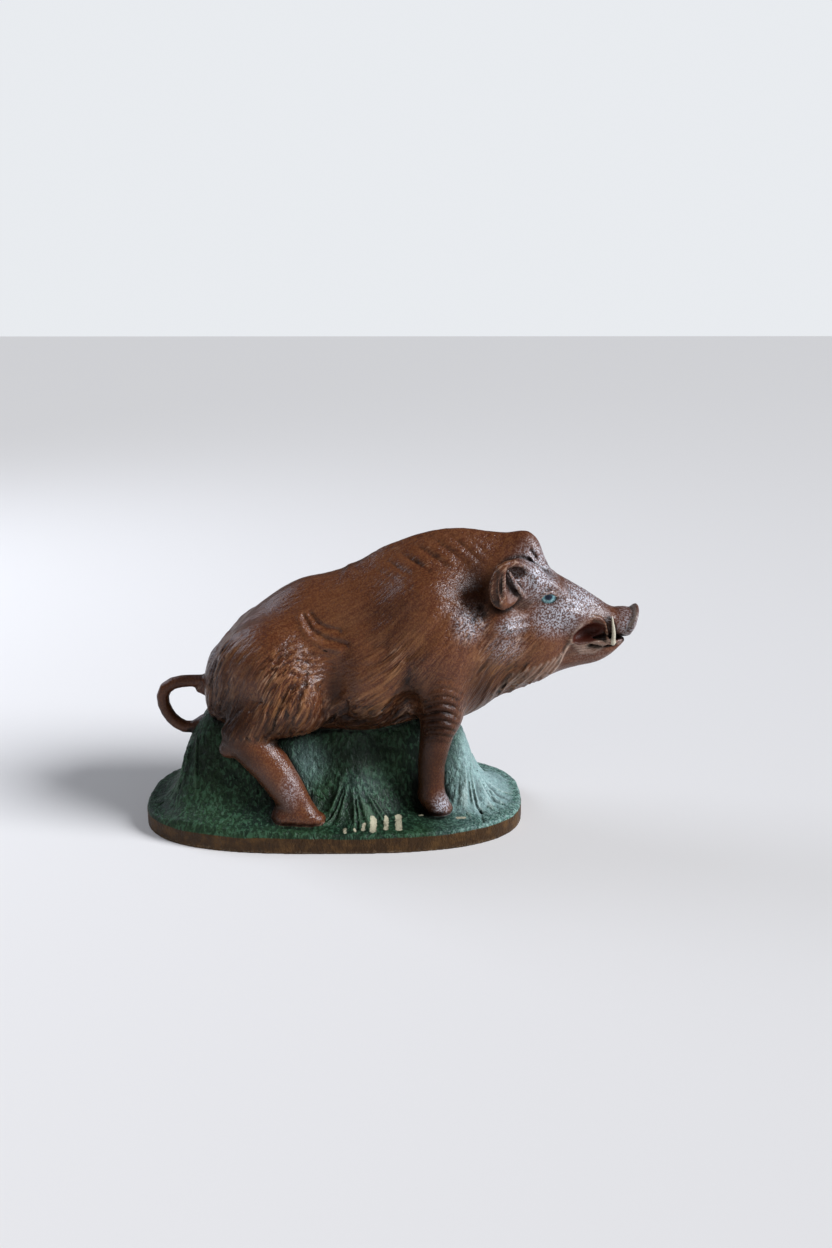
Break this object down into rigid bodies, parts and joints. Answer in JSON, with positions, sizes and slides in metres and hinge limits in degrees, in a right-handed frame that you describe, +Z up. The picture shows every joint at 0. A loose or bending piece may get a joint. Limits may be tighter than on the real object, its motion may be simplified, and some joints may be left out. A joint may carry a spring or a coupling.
{
  "type": "boar figurine",
  "caption": "Painted plaster figure of a wild boar looking along its plinth, resting on a grassy mound, with a looped tail and a rounded oblong base.",
  "frame": {"origin": "middle of the plinth's flat underside", "axes": "+X along the length, towards the boar's snout; +Z up; the flank seen in the picture faces -Y"},
  "size_m": [0.311, 0.1258, 0.1867],
  "materials": {
    "painted_plaster": "satin paint on cast plaster"
  },
  "bodies": {
    "root": {"boar_on_plinth": "painted_plaster"}
  },
  "joints": []
}
